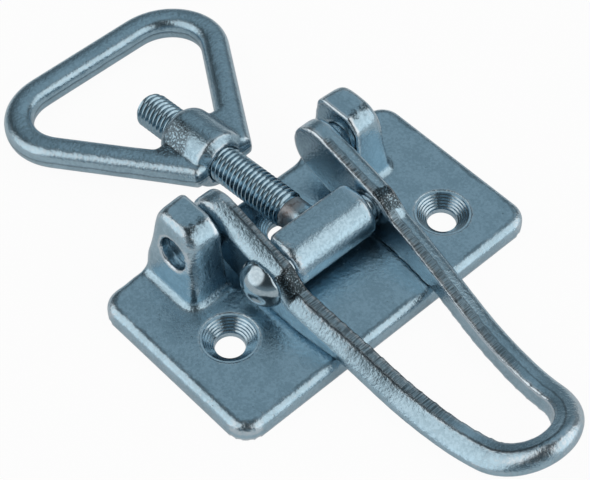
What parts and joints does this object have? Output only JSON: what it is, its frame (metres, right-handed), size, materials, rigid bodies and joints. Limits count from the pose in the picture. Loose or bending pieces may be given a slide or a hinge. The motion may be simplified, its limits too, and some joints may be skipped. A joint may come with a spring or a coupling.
{
  "type": "adjustable latch",
  "caption": "Adjustable over-centre latch: a lugged base plate with countersunk screw holes, a fork lever ending in a grip loop, and a triangular eye screwed onto a T-bolt.",
  "frame": {"origin": "middle of the base plate's underside, on the surface that the latch is screwed to", "axes": "+X along the closed handle, +Y along the lever's pivot, +Z out of the mounting surface"},
  "size_m": [0.1807, 0.1, 0.0274],
  "materials": {
    "base_zinc": "forged steel, bright blue zinc plate",
    "lever_zinc": "forged steel, bright blue zinc plate",
    "rivet_zinc": "polished rivet head, bright zinc plate",
    "bolt_zinc": "forged and rolled steel, bright blue zinc plate",
    "eye_zinc": "forged steel, bright blue zinc plate"
  },
  "bodies": {
    "base": {"base_plate": "base_zinc"},
    "lever": {"lever": "lever_zinc", "trunnion_rivet": "rivet_zinc"},
    "t_bolt": {"t_bolt": "bolt_zinc"},
    "eye": {"eye": "eye_zinc"}
  },
  "joints": [
    {"name": "lever_swing", "type": "hinge", "parent": "base", "child": "lever", "pos_m": [-0.0174, 0, 0.018], "axis": [0, -1, 0], "range_deg": [0, 170]},
    {"name": "t_bolt_swing", "type": "hinge", "parent": "lever", "child": "t_bolt", "pos_m": [0.0018, 0, 0.0144], "axis": [0, -1, 0], "range_deg": [-172, 10]},
    {"name": "eye_adjust", "type": "slide", "parent": "t_bolt", "child": "eye", "axis": [-0.9939, 0, -0.1106], "range_m": [-0.006, 0.012]}
  ],
  "couplings": [
    {"joint": "t_bolt_swing", "follows": "lever_swing", "ratio": -1}
  ]
}
